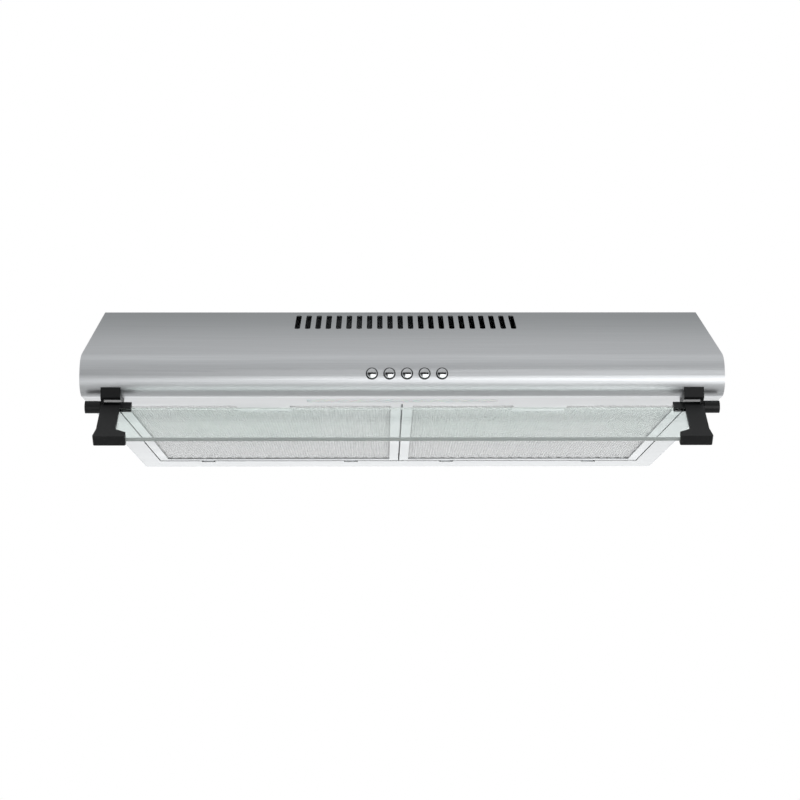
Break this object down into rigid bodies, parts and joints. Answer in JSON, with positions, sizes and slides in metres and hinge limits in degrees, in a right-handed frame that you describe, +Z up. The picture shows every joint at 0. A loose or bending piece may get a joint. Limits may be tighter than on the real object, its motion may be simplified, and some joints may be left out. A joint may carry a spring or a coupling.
{
  "type": "range hood",
  "caption": "Slim under-cabinet range hood with a sloped steel canopy, mesh grease filters, push buttons, a hinged glass visor and a top duct collar.",
  "frame": {"origin": "middle of the four cabinet screw holes, on the flat top face", "axes": "+X to the hood's right, +Y towards the wall behind, +Z up; the round nose faces -Y"},
  "size_m": [0.6, 0.5334, 0.1945],
  "materials": {
    "canopy_steel": "horizontally brushed stainless steel, satin",
    "rail_steel": "bright satin steel sheet",
    "galvanised_sheet": "zinc-coated steel sheet",
    "filter_frame_aluminium": "satin rolled aluminium",
    "filter_net_aluminium": "bright expanded aluminium",
    "latch_plastic": "light grey moulded plastic",
    "black_plastic": "black moulded plastic with a slight sheen",
    "zinc_steel": "zinc-plated steel",
    "visor_glass": "clear float glass with a green edge",
    "frosted_lens": "frosted white lens",
    "white_plastic": "white moulded plastic",
    "chromed_plastic": "chromed moulding",
    "grey_plastic": "grey moulded plastic",
    "fan_plastic": "dark grey moulded plastic",
    "hub_aluminium": "turned aluminium",
    "motor_steel": "grey painted steel",
    "bearing_bronze": "sintered bronze",
    "can_aluminium": "drawn aluminium can"
  },
  "bodies": {
    "hood": {"canopy": "canopy_steel", "cheek_left": "canopy_steel", "cheek_right": "canopy_steel", "back_panel": "galvanised_sheet", "underframe": "rail_steel", "centre_bar": "galvanised_sheet", "filter_hooks": "galvanised_sheet", "switch_brackets": "galvanised_sheet", "capacitor_clip": "galvanised_sheet", "motor_bracket": "galvanised_sheet", "visor_lug_left": "black_plastic", "visor_lug_right": "black_plastic", "lug_screws": "zinc_steel", "collar_screws": "zinc_steel", "housing_screws": "zinc_steel", "bracket_screws": "zinc_steel", "lamp_lens": "frosted_lens", "lamp_tray": "white_plastic", "led_board": "white_plastic", "switch_body": "black_plastic", "duct_collar": "grey_plastic", "scroll_housing": "grey_plastic", "scroll_floor": "grey_plastic", "motor_body": "motor_steel", "motor_bearings": "bearing_bronze", "terminal_box": "white_plastic", "terminal_lid": "white_plastic", "terminal_block": "white_plastic", "capacitor": "can_aluminium", "cable_gland": "black_plastic"},
    "visor": {"visor_arm_left": "black_plastic", "visor_arm_right": "black_plastic", "visor_glass": "visor_glass", "visor_pin_left": "zinc_steel", "visor_pin_right": "zinc_steel"},
    "filter_left": {"filter_frame_left": "filter_frame_aluminium", "filter_net_left": "filter_net_aluminium"},
    "filter_right": {"filter_frame_right": "filter_frame_aluminium", "filter_net_right": "filter_net_aluminium"},
    "latch_left": {"filter_latch_left": "latch_plastic"},
    "latch_right": {"filter_latch_right": "latch_plastic"},
    "fan": {"impeller": "fan_plastic", "impeller_hub": "hub_aluminium", "motor_shaft": "zinc_steel"},
    "flap_front": {"duct_flap_front": "grey_plastic"},
    "flap_rear": {"duct_flap_rear": "grey_plastic"},
    "button_1": {"push_button_1": "chromed_plastic"},
    "button_2": {"push_button_2": "chromed_plastic"},
    "button_3": {"push_button_3": "chromed_plastic"},
    "button_4": {"push_button_4": "chromed_plastic"},
    "button_5": {"push_button_5": "chromed_plastic"}
  },
  "joints": [
    {"name": "visor_hinge", "type": "hinge", "parent": "hood", "child": "visor", "pos_m": [0, -0.326, -0.1212], "axis": [1, 0, 0], "range_deg": [-45, 133]},
    {"name": "filter_left_hinge", "type": "hinge", "parent": "hood", "child": "filter_left", "pos_m": [-0.139, 0.1255, -0.10525], "axis": [1, 0, 0], "range_deg": [0, 65]},
    {"name": "filter_right_hinge", "type": "hinge", "parent": "hood", "child": "filter_right", "pos_m": [0.139, 0.1255, -0.10525], "axis": [1, 0, 0], "range_deg": [0, 65]},
    {"name": "latch_left_slide", "type": "slide", "parent": "filter_left", "child": "latch_left", "axis": [0, 1, 0], "range_m": [0, 0.005], "stiffness_N_per_m": 400, "springref_m": -0.004},
    {"name": "latch_right_slide", "type": "slide", "parent": "filter_right", "child": "latch_right", "axis": [0, 1, 0], "range_m": [0, 0.005], "stiffness_N_per_m": 400, "springref_m": -0.004},
    {"name": "fan_spin", "type": "hinge", "parent": "hood", "child": "fan", "pos_m": [-0.072, -0.058, -0.03], "axis": [0, 0, 1], "continuous": true},
    {"name": "flap_front_hinge", "type": "hinge", "parent": "hood", "child": "flap_front", "pos_m": [0, 0.0824, 0.014], "axis": [-1, 0, 0], "range_deg": [0, 75]},
    {"name": "flap_rear_hinge", "type": "hinge", "parent": "hood", "child": "flap_rear", "pos_m": [0, 0.0876, 0.014], "axis": [1, 0, 0], "range_deg": [0, 75]},
    {"name": "button_1_press", "type": "slide", "parent": "hood", "child": "button_1", "axis": [0, 1, 0], "range_m": [0, 0.0025], "stiffness_N_per_m": 600, "springref_m": -0.003},
    {"name": "button_2_press", "type": "slide", "parent": "hood", "child": "button_2", "axis": [0, 1, 0], "range_m": [0, 0.0025], "stiffness_N_per_m": 600, "springref_m": -0.003},
    {"name": "button_3_press", "type": "slide", "parent": "hood", "child": "button_3", "axis": [0, 1, 0], "range_m": [0, 0.0025], "stiffness_N_per_m": 600, "springref_m": -0.003},
    {"name": "button_4_press", "type": "slide", "parent": "hood", "child": "button_4", "axis": [0, 1, 0], "range_m": [0, 0.0025], "stiffness_N_per_m": 600, "springref_m": -0.003},
    {"name": "button_5_press", "type": "slide", "parent": "hood", "child": "button_5", "axis": [0, 1, 0], "range_m": [0, 0.0025], "stiffness_N_per_m": 600, "springref_m": -0.003}
  ]
}
